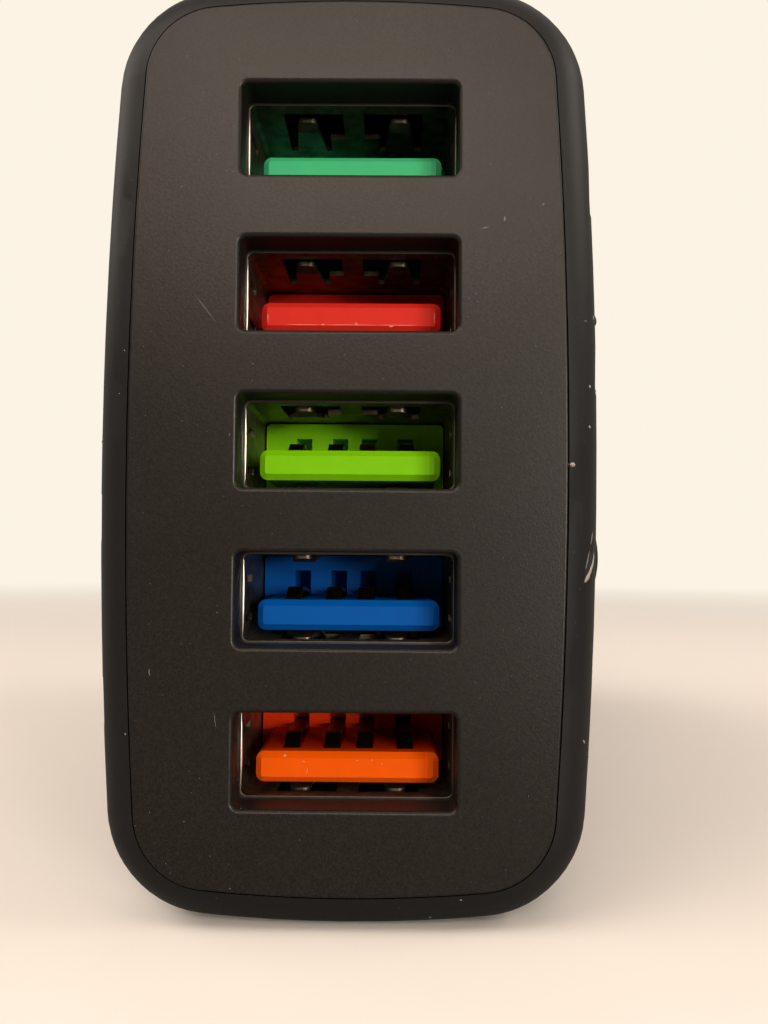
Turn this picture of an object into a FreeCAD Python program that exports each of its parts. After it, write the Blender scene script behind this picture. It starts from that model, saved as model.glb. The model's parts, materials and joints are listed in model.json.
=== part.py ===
# A plug-in USB charger: a black moulded housing with two plug pins at its back, and five sockets in a
# column on its front panel, each with a tongue of its own colour.
# Sizes are in millimetres. The panel faces -Y, the pins point to +Y and Z is up. The model is drawn with the
# panel's front at Y = 0 and the middle socket at Z = 0, and is set on its bottom end when it is written.
import FreeCAD
import Part
import math
import os

V = FreeCAD.Vector

# Column of sockets
port_count = 5
port_pitch = 9.15

# Openings of the front panel
opening_width = 12.7
opening_height = 5.45
opening_corner = 0.4
opening_round = 0.25

# Housing: a bowed outline of long arcs and corner arcs, with the number of arcs in each half of a bow
body_width = 29.8
body_height = 56.2
body_depth = 65.1
side_bow_radius = 320.0
end_bow_radius = 88.0
body_corner_radius = 6.5
side_bow_arcs = 2
end_bow_arcs = 1
wall = 2.12
rear_wall = 2.5
front_rim_round = 3.0
rear_rim_round = 2.5

# Ribs inside the housing: they seat the panel, guide the port board and stop it from behind
rib_width = 2.0
rib_height = 1.5
rib_shoulder = 0.9
side_rib_spacing = 30.0
end_rib_spacing = 6.0

# Rails that hold the power board
rail_wall = 1.3
rail_grip = 1.5
rail_setback = 4.0
rail_gap = 0.12

# Front panel
panel_thickness = 2.5
panel_gap = 0.08
panel_edge_round = 0.12

# Socket shell, folded from plated sheet
shell_inner_width = 12.5
shell_inner_height = 5.12
shell_inner_corner = 0.35
shell_sheet = 0.3
shell_edge_round = 0.07
shell_length = 13.4
shell_gap = 0.1
shell_leg_width = 2.0
shell_leg_length = 2.4

# Windows and spring fingers in the shell's ceiling and floor, from the shell's middle and its front edge
window_inner = 0.65
window_outer = 4.35
window_front = 1.1
window_step = 4.5
window_rear = 6.4
window_step_width = 0.95
finger_tip_gap = 0.6
finger_tip_inner = 2.3
finger_tip_width = 1.2
finger_tip_round = 0.45
finger_root_inner = 1.95
finger_root_width = 1.95
finger_bend = 2.7
finger_drop_ceiling = 0.45
finger_drop_floor = 0.25
finger_tip_lift = 0.22
finger_root_lap = 0.6

# Slots in the shell's side walls
side_slot_front = 1.0
side_slot_length = 2.4
side_slot_height = 0.45
side_slot_upper = 1.05
side_slot_lower = -1.35

# Insulator: a base that fills the back of the shell, and a tongue
insulator_gap = 0.1
tongue_setback = 0.8
tongue_side_gap = 0.72
tongue_lift = 0.54
tongue_thickness = 1.84
tongue_corner = 0.5
tongue_bevel = 0.36
base_front = 8.7

# Contacts: offsets across the tongue, and the sprung profile along it
contact_offsets = (-3.5, -1.0, 1.0, 3.5)
contact_width = 0.95
contact_sheet = 0.25
contact_gap = 0.06
contact_tip_setback = 1.55
contact_tip_sink = 0.14
contact_crest_setback = 2.9
contact_crest_length = 0.8
contact_crest_rise = 0.55
contact_seat_rise = 0.2
contact_tail = 0.8
groove_depth = 0.4
groove_front_gap = 0.3
slot_rise = 1.62
slot_depth = 2.0

# Circuit boards
board_thickness = 1.6
board_gap = 0.3
board_hole_gap = 0.12
tab_gap = 0.5
tab_length = 6.0
tab_spacing = 22.0
power_board_end_gap = 2.8
board_edge = 2.5
part_gap = 1.0
part_headroom = 1.0
lead_width = 0.6
lead_tail = 0.8

# Chips on the back of the port board
controller_width = 5.0
controller_height = 4.0
controller_thickness = 1.6

# Transformer
core_width = 20.0
core_depth = 10.0
core_yoke = 3.6
core_centre_leg = 6.4
core_side_leg = 2.8
bobbin_gap = 0.15
bobbin_tube_wall = 0.8
bobbin_flange = 1.0
bobbin_overhang = 4.2
bobbin_rail_depth = 2.4
bobbin_pin_count = 4
bobbin_pin_pitch = 2.5
winding_gap = 0.15
winding_setback = 0.5

# Capacitors
primary_cap_height = 14.0
output_cap_diameter = 8.0
output_cap_height = 12.0
cap_crimp_height = 1.6
cap_crimp_depth = 0.45
cap_edge = 0.5
cap_lead_spacing = 3.5
x_cap_length = 10.0
x_cap_height = 8.5
x_cap_lead_spacing = 7.5
y_cap_diameter = 7.0
y_cap_thickness = 3.0
y_cap_edge = 0.9
y_cap_lead_spacing = 4.0

# Parts of the input row and the power devices
input_row_depth = 3.6
block_edge = 0.3
fuse_length = 8.5
fuse_height = 7.5
fuse_lead_spacing = 5.0
bridge_length = 8.5
bridge_height = 6.0
bridge_lead_pitch = 1.9
device_width = 10.0
device_height = 9.0
device_thickness = 4.5
device_tab_thickness = 1.3
device_hole_radius = 1.8
device_lead_pitch = 2.54
device_stand = 1.0
sink_width = 15.0
sink_thickness = 1.5
opto_length = 6.4
opto_width = 4.6
opto_height = 3.4
opto_row_spacing = 3.2

# Plug: stem, pins, sleeves and contact strips
stem_width = 13.7
stem_height = 35.3
stem_bevel = 3.6
stem_corner_round = 1.5
stem_length = 18.0
stem_wall = 1.8
stem_end_wall = 3.0
stem_end_round = 0.8
pin_radius = 2.0
pin_length = 19.0
pin_spacing = 18.6
pin_bore_gap = 0.04
pin_shank_radius = 2.3
pin_collar_radius = 3.1
pin_collar = 1.2
pin_spigot_radius = 1.1
pin_spigot_reach = 0.7
sleeve_radius = 1.84
sleeve_wall = 0.4
sleeve_length = 10.0
sleeve_gap = 0.02
strip_width = 3.0
strip_sheet = 0.5
strip_eyelet = 2.4
strip_side_gap = 0.6
strip_pad = 3.4
strip_run_out = 0.6

# How far a cutting solid reaches past the face that it cuts
overcut = 1.0

# Places that follow from the sizes above
half_width = body_width / 2
half_height = body_height / 2
shell_front = panel_thickness + shell_gap
shell_width = shell_inner_width + 2 * shell_sheet
shell_height = shell_inner_height + 2 * shell_sheet
port_board_front = shell_front + shell_length
port_board_rear = port_board_front + board_thickness
tongue_bottom = tongue_lift - shell_inner_height / 2
tongue_top = tongue_bottom + tongue_thickness
tongue_width = shell_inner_width - 2 * tongue_side_gap
contact_seat = tongue_top + contact_seat_rise
mount_face = -(shell_width / 2 + tab_gap)
solder_face = mount_face - board_thickness
power_board_half = half_height - wall - power_board_end_gap
top_edge = power_board_half - board_edge
tall_part = half_width - wall - rib_height - rib_shoulder - part_headroom - mount_face
lower_room = 2 * top_edge - core_width - part_gap
primary_cap_diameter = (lower_room - part_gap) / 2
device_tab_height = tall_part - device_stand
bobbin_depth = core_depth + 2 * bobbin_overhang
front_row = port_board_rear + board_edge
upper_rows = output_cap_diameter + part_gap + bobbin_depth
output_rows = device_thickness + part_gap + y_cap_thickness
switch_rows = sink_thickness + device_thickness + part_gap + primary_cap_diameter
rows_rear = front_row + max(upper_rows, output_rows + part_gap + switch_rows)
transformer_row = rows_rear - bobbin_depth / 2
input_row = rows_rear + part_gap + input_row_depth / 2
power_board_rear = input_row + input_row_depth / 2 + board_edge
primary_row = rows_rear - primary_cap_diameter / 2
switch_rear = primary_row - primary_cap_diameter / 2 - part_gap
strip_slope = (body_depth - rear_wall - power_board_rear) / 2
stem_end = body_depth + stem_length
overall_depth = stem_end + pin_length
port_heights = [port_pitch * ((port_count - 1) / 2 - i) for i in range(port_count)]

# Spots, as (y, z), where leads go through the power board
lead_spots = []


def box(x0, x1, y0, y1, z0, z1):
    """Block between two limits on each axis."""
    return Part.makeBox(x1 - x0, y1 - y0, z1 - z0, V(x0, y0, z0))


def centred_box(x0, x1, y, depth, z, height):
    """Block from x0 to x1, centred on a point of the power board."""
    return box(x0, x1, y - depth / 2, y + depth / 2, z - height / 2, z + height / 2)


def unit(vector):
    return vector * (1 / vector.Length)


def rounded_polygon(corners, radius, y=0.0):
    """Closed wire in the XZ plane through (x, z) corners, each rounded by the radius."""
    points = [V(x, y, z) for x, z in corners]
    arcs = []
    for i, here in enumerate(points):
        back = unit(points[i - 1] - here)
        ahead = unit(points[(i + 1) % len(points)] - here)
        half_angle = back.getAngle(ahead) / 2
        reach = radius / math.tan(half_angle)
        middle = here + unit(back + ahead) * (radius / math.sin(half_angle) - radius)
        arcs.append((here + back * reach, middle, here + ahead * reach))
    edges = []
    for i, (start, middle, end) in enumerate(arcs):
        edges.append(Part.makeLine(arcs[i - 1][2], start))
        edges.append(Part.Arc(start, middle, end).toShape())
    return Part.Wire(edges)


def rounded_prism(width, height, radius, y0, y1):
    """Rectangle with round corners, centred on the Y axis and drawn out from y0 to y1."""
    w, h = width / 2, height / 2
    wire = rounded_polygon([(-w, -h), (w, -h), (w, h), (-w, h)], radius, y0)
    return Part.Face(wire).extrude(V(0, y1 - y0, 0))


def bent_strip(path, thickness, place, sweep):
    """Strip of sheet: the path's line thickened to the sheet with mitred bends, then swept sideways."""
    left, right = [], []
    for i, (u, v) in enumerate(path):
        normals = []
        for a, b in ((i - 1, i), (i, i + 1)):
            if a < 0 or b == len(path):
                continue
            du, dv = path[b][0] - path[a][0], path[b][1] - path[a][1]
            length = math.hypot(du, dv)
            normals.append((-dv / length, du / length))
        (pu, pv), (qu, qv) = normals[0], normals[-1]
        mitre = thickness / 2 / (1 + pu * qu + pv * qv)
        left.append((u + (pu + qu) * mitre, v + (pv + qv) * mitre))
        right.append((u - (pu + qu) * mitre, v - (pv + qv) * mitre))
    ring = [place(u, v) for u, v in left + right[::-1]]
    return Part.Face(Part.makePolygon(ring + ring[:1])).extrude(sweep)


def mirrored(point, sx, sz):
    return V(point.x * sx, point.y, point.z * sz)


def arc_chain(centre, first, last, count):
    """Arcs of one circle from first to last. Joints along a long bow keep it smooth when it is faceted."""
    spoke = first - centre
    sweep = FreeCAD.Rotation(spoke, last - centre)
    points = []
    for i in range(2 * count + 1):
        share = FreeCAD.Rotation(sweep.Axis, math.degrees(sweep.Angle) * i / (2 * count))
        points.append(centre + share.multVec(spoke))
    return [Part.Arc(*points[2 * i:2 * i + 3]).toShape() for i in range(count)]


def outline_prism(inset, y0, y1):
    """The body's outline, moved in parallel to itself by the inset and drawn out from y0 to y1."""
    side = V(half_width - side_bow_radius, y0, 0)
    end = V(0, y0, half_height - end_bow_radius)
    side_reach = side_bow_radius - body_corner_radius
    end_reach = end_bow_radius - body_corner_radius
    span = (end - side).Length
    along = (side_reach ** 2 - end_reach ** 2 + span ** 2) / (2 * span)
    across = math.sqrt(side_reach ** 2 - along ** 2)
    axis = unit(end - side)
    corner = side + axis * along + V(-axis.z, 0, axis.x) * across
    if corner.x < 0:
        corner = side + axis * along - V(-axis.z, 0, axis.x) * across
    from_side = unit(corner - side)
    from_end = unit(corner - end)
    low = side + from_side * (side_bow_radius - inset)
    high = end + from_end * (end_bow_radius - inset)
    quarter = [(side, V(half_width - inset, y0, 0), low, side_bow_arcs), (corner, low, high, 1),
               (end, high, V(0, y0, half_height - inset), end_bow_arcs)]
    edges = []
    for sx, sz in ((1, 1), (-1, 1), (-1, -1), (1, -1)):
        turn = []
        for centre, first, last, count in quarter:
            points = [mirrored(point, sx, sz) for point in (centre, first, last)]
            turn += arc_chain(*points, count)
        edges += turn if sx * sz > 0 else turn[::-1]
    wire = Part.Wire(edges)
    return Part.Face(wire).extrude(V(0, y1 - y0, 0))


def edges_at(shape, y):
    """Edges that lie wholly at one depth."""
    tolerance = 1e-6
    level = [e for e in shape.Edges if e.BoundBox.YLength < tolerance]
    return [e for e in level if abs(e.BoundBox.YMin - y) < tolerance]


def make_ribs():
    """Ribs along the walls: low in front of the port board's back, and higher behind it as a stop."""
    bars = []
    for spread in (-side_rib_spacing / 2, side_rib_spacing / 2):
        bars.append(box(-half_width, half_width, panel_thickness, body_depth,
                        spread - rib_width / 2, spread + rib_width / 2))
    for spread in (-end_rib_spacing / 2, end_rib_spacing / 2):
        bars.append(box(spread - rib_width / 2, spread + rib_width / 2, panel_thickness, body_depth,
                        -half_height, half_height))
    front_room = outline_prism(wall + rib_height, panel_thickness - overcut, port_board_rear)
    rear_room = outline_prism(wall + rib_height + rib_shoulder, port_board_rear, body_depth + overcut)
    return bars[0].fuse(bars[1:]).cut([front_room, rear_room])


def make_rails():
    """Two grooved rails on the end walls: the power board slides in up to its stop."""
    x0 = solder_face - rail_gap - rail_wall
    x1 = mount_face + rail_gap + rail_wall
    reach = power_board_half - rail_grip
    block = box(x0, x1, port_board_rear + rail_setback, body_depth, -half_height, half_height)
    block = block.cut(box(x0, x1, port_board_rear, body_depth, -reach, reach))
    groove = box(solder_face - rail_gap, mount_face + rail_gap, port_board_rear, power_board_rear + rail_gap,
                 -power_board_half - rail_gap, power_board_half + rail_gap)
    return block.cut(groove)


def stem_prism(inset, y0, y1):
    """The plug stem's section: a long hexagon-like bar with bevelled corners."""
    w, h, b = stem_width / 2 - inset, stem_height / 2 - inset, stem_bevel
    corners = [(-w, -h + b), (-w + b, -h), (w - b, -h), (w, -h + b),
               (w, h - b), (w - b, h), (-w + b, h), (-w, h - b)]
    return Part.Face(rounded_polygon(corners, stem_corner_round, y0)).extrude(V(0, y1 - y0, 0))


def pin_places():
    return {"live": -pin_spacing / 2, "neutral": pin_spacing / 2}


def make_housing():
    """Moulded tub with a rounded front rim, a closed back and the hollow plug stem."""
    body = outline_prism(0, 0, body_depth)
    body = body.makeFillet(front_rim_round, edges_at(body, 0))
    body = body.makeFillet(rear_rim_round, edges_at(body, body_depth))
    stem = stem_prism(0, body_depth - rear_wall / 2, stem_end)
    stem = stem.makeFillet(stem_end_round, edges_at(stem, stem_end))
    room = outline_prism(wall, -overcut, body_depth - rear_wall)
    room = room.cut([make_ribs(), make_rails()])
    stem_room = stem_prism(stem_wall, body_depth - rear_wall - overcut, stem_end - stem_end_wall)
    bores = []
    for z in pin_places().values():
        bores.append(Part.makeCylinder(pin_shank_radius + pin_bore_gap, stem_end_wall + 2 * overcut,
                                       V(0, stem_end - stem_end_wall - overcut, z), V(0, 1, 0)))
    return body.fuse(stem).cut([room, stem_room] + bores)


def make_front_panel():
    """Plate in the housing's mouth, with a softened edge and one rounded opening for each socket."""
    plate = outline_prism(wall + panel_gap, 0, panel_thickness)
    plate = plate.makeFillet(panel_edge_round, edges_at(plate, 0))
    for z in port_heights:
        opening = rounded_prism(opening_width, opening_height, opening_corner,
                                -overcut, panel_thickness + overcut)
        plate = plate.cut(opening.translated(V(0, 0, z)))
    rims = [e for e in edges_at(plate, 0) if e.BoundBox.XMin >= -opening_width / 2 - panel_edge_round
            and e.BoundBox.XMax <= opening_width / 2 + panel_edge_round
            and abs(e.CenterOfMass.z) < port_heights[0] + opening_height]
    return plate.makeFillet(opening_round, rims)


def finger(side, wall_middle, drop):
    """One spring finger: a strip bent into the shell, trimmed to its tapered outline."""
    tip = window_front + finger_tip_gap
    inwards = -math.copysign(1, wall_middle)
    path = [(window_rear + finger_root_lap, wall_middle), (window_rear, wall_middle),
            (finger_bend, wall_middle + inwards * drop),
            (tip, wall_middle + inwards * (drop - finger_tip_lift))]
    strip = bent_strip(path, shell_sheet, lambda y, z: V(0, shell_front + y, z), V(side * half_width, 0, 0))
    root_outer = finger_root_inner + finger_root_width
    rear = window_rear + finger_root_lap
    corners = [(finger_tip_inner, tip), (finger_tip_inner + finger_tip_width, tip),
               (root_outer, window_rear), (root_outer, rear),
               (finger_root_inner, rear), (finger_root_inner, window_rear)]
    ring = [V(side * x, shell_front + y, -shell_height) for x, y in corners]
    blank = Part.Face(Part.makePolygon(ring + ring[:1])).extrude(V(0, 0, 2 * shell_height))
    upright = [e for e in blank.Edges if e.BoundBox.ZLength > shell_height]
    tips = [e for e in upright if e.BoundBox.YMax < shell_front + finger_bend]
    return strip.common(blank.makeFillet(finger_tip_round, tips))


def window(side, top):
    """Cutter for one window of the ceiling or the floor: wide in front, narrower beside the finger's root."""
    step = window_inner + window_step_width
    corners = [(window_inner, window_front), (window_outer, window_front), (window_outer, window_rear),
               (step, window_rear), (step, window_step), (window_inner, window_step)]
    ring = [V(side * x, shell_front + y, 0) for x, y in corners]
    return Part.Face(Part.makePolygon(ring + ring[:1])).extrude(V(0, 0, top * shell_height))


def make_shell():
    """Socket shell: a folded tube with two spring fingers in its ceiling and floor, and two board legs."""
    outer_corner = shell_inner_corner + shell_sheet
    shell = rounded_prism(shell_width, shell_height, outer_corner, shell_front, port_board_front)
    shell = shell.cut(rounded_prism(shell_inner_width, shell_inner_height, shell_inner_corner,
                                    shell_front - overcut, port_board_front + overcut))
    shell = shell.makeFillet(shell_edge_round, edges_at(shell, shell_front))
    cutters = [window(side, top) for side in (-1, 1) for top in (-1, 1)]
    for z in (side_slot_upper, side_slot_lower):
        cutters.append(box(-shell_width, shell_width, shell_front + side_slot_front,
                           shell_front + side_slot_front + side_slot_length,
                           z - side_slot_height / 2, z + side_slot_height / 2))
    shell = shell.cut(cutters)
    wall_middle = (shell_inner_height + shell_sheet) / 2
    additions = []
    for side in (-1, 1):
        additions.append(finger(side, wall_middle, finger_drop_ceiling))
        additions.append(finger(side, -wall_middle, finger_drop_floor))
        inner, outer = side * shell_inner_width / 2, side * shell_width / 2
        additions.append(box(min(inner, outer), max(inner, outer), port_board_front - overcut,
                             port_board_front + shell_leg_length, -shell_leg_width / 2, shell_leg_width / 2))
    return shell.fuse(additions).removeSplitter()


def make_insulator():
    """Moulded insulator: the base in the shell's back, a bevelled tongue, and room for the contacts."""
    width = shell_inner_width - 2 * insulator_gap
    height = shell_inner_height - 2 * insulator_gap
    base = rounded_prism(width, height, shell_inner_corner, shell_front + base_front, port_board_front)
    tongue_front = shell_front + tongue_setback
    tongue = rounded_prism(tongue_width, tongue_thickness, tongue_corner,
                           tongue_front, shell_front + base_front + overcut)
    tongue = tongue.makeChamfer(tongue_bevel, edges_at(tongue, tongue_front))
    tongue = tongue.translated(V(0, 0, (tongue_bottom + tongue_top) / 2))
    cutters = []
    groove_front = tongue_front + contact_tip_setback - groove_front_gap
    seat_low = contact_seat - contact_sheet / 2 - contact_gap
    seat_high = contact_seat + contact_sheet / 2 + contact_gap
    for x in contact_offsets:
        x0, x1 = x - contact_width / 2 - contact_gap, x + contact_width / 2 + contact_gap
        cutters.append(box(x0, x1, groove_front, shell_front + base_front + slot_depth,
                           tongue_top - groove_depth, tongue_top + slot_rise))
        cutters.append(box(x0, x1, shell_front + base_front, port_board_front + overcut, seat_low, seat_high))
    return base.fuse(tongue).cut(cutters).removeSplitter()


def make_contacts():
    """Four contacts: each rises from its groove to a crest, and runs back through the base to the board."""
    tongue_front = shell_front + tongue_setback
    crest = tongue_top + contact_crest_rise
    path = [(tongue_front + contact_tip_setback, tongue_top - contact_tip_sink),
            (tongue_front + contact_crest_setback, crest),
            (tongue_front + contact_crest_setback + contact_crest_length, crest),
            (shell_front + base_front, contact_seat),
            (port_board_rear + contact_tail, contact_seat)]
    strips = []
    for x in contact_offsets:
        strips.append(bent_strip(path, contact_sheet, lambda y, z: V(x - contact_width / 2, y, z),
                                 V(contact_width, 0, 0)))
    return Part.makeCompound(strips)


def make_port_board():
    """Board across the front: slots for the shells' legs, the contacts' tails and the power board's tabs."""
    board = outline_prism(wall + rib_height + board_gap, port_board_front, port_board_rear)
    y0, y1 = port_board_front - overcut, port_board_rear + overcut
    holes = []
    leg_middle = (shell_inner_width + shell_sheet) / 2
    leg_gap = shell_sheet / 2 + board_hole_gap
    leg_half = shell_leg_width / 2 + board_hole_gap
    tail_half = contact_width / 2 + board_hole_gap
    tail_gap = contact_sheet / 2 + board_hole_gap
    for z in port_heights:
        for x in (-leg_middle, leg_middle):
            holes.append(box(x - leg_gap, x + leg_gap, y0, y1, z - leg_half, z + leg_half))
        for x in contact_offsets:
            seat = z + contact_seat
            holes.append(box(x - tail_half, x + tail_half, y0, y1, seat - tail_gap, seat + tail_gap))
    for z in (-tab_spacing / 2, tab_spacing / 2):
        half = tab_length / 2 + board_hole_gap
        holes.append(box(solder_face - board_hole_gap, mount_face + board_hole_gap, y0, y1,
                         z - half, z + half))
    return board.cut(holes)


def make_port_controllers():
    """Chips on the port board's back, one between each two sockets, clear of the contacts' tails."""
    chips = []
    for upper, lower in zip(port_heights, port_heights[1:]):
        z = (upper + lower) / 2
        back = port_board_rear + controller_thickness
        chip = box(-controller_width / 2, controller_width / 2, port_board_rear, back,
                   z - controller_height / 2, z + controller_height / 2)
        chips.append(chip.makeChamfer(block_edge, edges_at(chip, back)))
    return Part.makeCompound(chips)


def with_leads(body, spots, root):
    """Adds a part's leads, from inside it through the power board, and notes where the board is drilled."""
    leads = []
    for y, z in spots:
        lead_spots.append((y, z))
        start = solder_face - lead_tail
        leads.append(centred_box(start, mount_face + root, y, lead_width, z, lead_width))
    return body.fuse(leads).removeSplitter()


def softened_block(height, y, depth, z, length):
    """Potted block on the power board, with its upper edges softened."""
    top = mount_face + height
    block = centred_box(mount_face, top, y, depth, z, length)
    upper = [e for e in block.Edges if e.BoundBox.XMin > top - block_edge / 2]
    return block.makeChamfer(block_edge, upper)


def row_leads(y, z, pitch, count):
    return [(y, z + pitch * (i - (count - 1) / 2)) for i in range(count)]


def make_capacitor(diameter, height, y, z):
    """Electrolytic can on the power board: crimped at its foot and rounded at its top."""
    r = diameter / 2
    crimp = cap_crimp_depth
    section = [(0, 0), (r, 0), (r, cap_crimp_height - crimp), (r - crimp, cap_crimp_height),
               (r, cap_crimp_height + crimp), (r, height - cap_edge), (r - cap_edge, height), (0, height)]
    ring = [V(mount_face + h, y + d, z) for d, h in section]
    can = Part.Face(Part.makePolygon(ring + ring[:1])).revolve(V(0, y, z), V(1, 0, 0), 360)
    return with_leads(can, row_leads(y, z, cap_lead_spacing, 2), cap_edge)


def transformer_height():
    """Middle of the transformer on the power board: it hangs from the board's top edge."""
    return top_edge - core_width / 2


def window_floor():
    return mount_face + core_yoke


def window_ceiling():
    return mount_face + tall_part - core_yoke


def make_transformer_core():
    """Two E-shaped ferrite halves that meet in the middle of their legs."""
    z = transformer_height()
    half = tall_part / 2
    w, c = core_width / 2, core_centre_leg / 2
    s = w - core_side_leg
    halves = []
    for foot, up in ((mount_face, 1), (mount_face + tall_part, -1)):
        outline = [(0, -w), (half, -w), (half, -s), (core_yoke, -s), (core_yoke, -c), (half, -c),
                   (half, c), (core_yoke, c), (core_yoke, s), (half, s), (half, w), (0, w)]
        ring = [V(foot + up * h, transformer_row - core_depth / 2, z + d) for h, d in outline]
        halves.append(Part.Face(Part.makePolygon(ring + ring[:1])).extrude(V(0, core_depth, 0)))
    return Part.makeCompound(halves)


def bobbin_tube_half():
    """Half sizes of the bobbin's tube, along the board and up it."""
    extra = bobbin_gap + bobbin_tube_wall
    return core_depth / 2 + extra, core_centre_leg / 2 + extra


def bobbin_flange_height():
    """The flanges fill the core's windows, less a gap to each side leg."""
    return core_width - 2 * core_side_leg - 2 * bobbin_gap


def make_transformer_bobbin():
    """Moulded bobbin: a square tube round the middle leg, two flanges, and two rails with pins."""
    y, z = transformer_row, transformer_height()
    low, high = window_floor() + bobbin_gap, window_ceiling() - bobbin_gap
    tube_y, tube_z = bobbin_tube_half()
    flange_z = bobbin_flange_height()
    bobbin = centred_box(low, high, y, 2 * tube_y, z, 2 * tube_z)
    bobbin = bobbin.fuse([centred_box(low, low + bobbin_flange, y, bobbin_depth, z, flange_z),
                          centred_box(high - bobbin_flange, high, y, bobbin_depth, z, flange_z)])
    rails, spots = [], []
    for side in (-1, 1):
        middle = y + side * (bobbin_depth - bobbin_rail_depth) / 2
        rails.append(centred_box(mount_face, low + bobbin_flange, middle, bobbin_rail_depth, z, flange_z))
        spots += row_leads(middle, z, bobbin_pin_pitch, bobbin_pin_count)
    leg = centred_box(low - overcut, high + overcut, y, core_depth + 2 * bobbin_gap,
                      z, core_centre_leg + 2 * bobbin_gap)
    return with_leads(bobbin.fuse(rails).cut(leg), spots, core_yoke)


def make_transformer_winding():
    """Wound coil between the bobbin's flanges, with round corners."""
    y, z = transformer_row, transformer_height()
    low = window_floor() + bobbin_gap + bobbin_flange + winding_gap
    high = window_ceiling() - bobbin_gap - bobbin_flange - winding_gap
    tube_y, tube_z = bobbin_tube_half()
    depth = bobbin_depth - 2 * winding_setback
    height = bobbin_flange_height() - 2 * winding_setback
    coil = centred_box(low, high, y, depth, z, height)
    corner = (height - 2 * tube_z) / 2 - winding_gap
    upright = [e for e in coil.Edges if e.BoundBox.XLength > (high - low) / 2]
    coil = coil.makeFillet(corner, upright)
    return coil.cut(centred_box(low - overcut, high + overcut, y, 2 * (tube_y + winding_gap),
                                z, 2 * (tube_z + winding_gap)))


def make_fuse():
    """Boxed fuse in the input row, at the board's top edge."""
    z = top_edge - fuse_length / 2
    block = softened_block(fuse_height, input_row, input_row_depth, z, fuse_length)
    return with_leads(block, row_leads(input_row, z, fuse_lead_spacing, 2), block_edge)


def make_bridge_rectifier():
    """Bridge rectifier in the input row, at the board's bottom edge."""
    z = bridge_length / 2 - top_edge
    block = softened_block(bridge_height, input_row, input_row_depth, z, bridge_length)
    return with_leads(block, row_leads(input_row, z, bridge_lead_pitch, 4), block_edge)


def make_x_capacitor():
    """Boxed mains capacitor in the middle of the input row, between the contact strips."""
    block = softened_block(x_cap_height, input_row, input_row_depth, 0, x_cap_length)
    return with_leads(block, row_leads(input_row, 0, x_cap_lead_spacing, 2), block_edge)


def power_device(front, tab_front, z):
    """Power device on its leads: a moulded body, and a metal tab with a hole on its front or back."""
    low = mount_face + device_stand
    body_middle = front + device_thickness / 2
    body = centred_box(low, low + device_height, body_middle, device_thickness, z, device_width)
    tab_y = front if tab_front else front + device_thickness - device_tab_thickness
    tab_middle = tab_y + device_tab_thickness / 2
    tab = centred_box(low, low + device_tab_height, tab_middle, device_tab_thickness, z, device_width)
    hole_x = low + (device_height + device_tab_height) / 2
    hole = Part.makeCylinder(device_hole_radius, device_tab_thickness + 2 * overcut,
                             V(hole_x, tab_y - overcut, z), V(0, 1, 0))
    spots = row_leads(body_middle, z, device_lead_pitch, 3)
    return with_leads(body.fuse(tab).cut(hole), spots, device_stand + block_edge)


def lower_middle():
    """Middle of the board's lower half, between its bottom edge and the transformer."""
    return lower_room / 2 - top_edge


def make_switch_transistor():
    return power_device(switch_rear - device_thickness, True, lower_middle())


def make_heat_sink():
    """Plate that the switching transistor is clamped to, with two feet through the board."""
    rear = switch_rear - device_thickness
    z = lower_middle()
    plate = box(mount_face, mount_face + tall_part, rear - sink_thickness, rear,
                z - sink_width / 2, z + sink_width / 2)
    spots = row_leads(rear - sink_thickness / 2, z, sink_width - 2 * sink_thickness, 2)
    return with_leads(plate, spots, block_edge)


def make_output_rectifier():
    z = transformer_height() - core_width / 2 - part_gap - device_width / 2
    return power_device(front_row, False, z)


def make_y_capacitor():
    """Disc capacitor that stands on edge behind the output rectifier."""
    z = transformer_height() - core_width / 2 - part_gap - device_width / 2
    y0 = front_row + output_rows - y_cap_thickness
    r = y_cap_diameter / 2
    disc = Part.makeCylinder(r, y_cap_thickness, V(mount_face + r, y0, z), V(0, 1, 0))
    disc = disc.makeChamfer(y_cap_edge, edges_at(disc, y0) + edges_at(disc, y0 + y_cap_thickness))
    return with_leads(disc, row_leads(y0 + y_cap_thickness / 2, z, y_cap_lead_spacing, 2), r)


def make_optocoupler():
    """Small four-lead coupler at the board's bottom front corner."""
    y = front_row + opto_length / 2
    z = opto_width / 2 - top_edge
    block = softened_block(opto_height, y, opto_length, z, opto_width)
    spots = []
    for side in (-1, 1):
        spots += row_leads(y + side * opto_row_spacing / 2, z, device_lead_pitch, 2)
    return with_leads(block, spots, block_edge)


def make_power_board():
    """Board along the housing, with tabs into the port board and a hole for each lead."""
    board = box(solder_face, mount_face, port_board_rear, power_board_rear,
                -power_board_half, power_board_half)
    tabs = []
    for z in (-tab_spacing / 2, tab_spacing / 2):
        tabs.append(box(solder_face, mount_face, port_board_front, port_board_rear + overcut,
                        z - tab_length / 2, z + tab_length / 2))
    holes = []
    for y, z in lead_spots:
        width = lead_width + 2 * board_hole_gap
        holes.append(centred_box(solder_face - overcut, mount_face + overcut, y, width, z, width))
    return board.fuse(tabs).cut(holes).removeSplitter()


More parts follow.
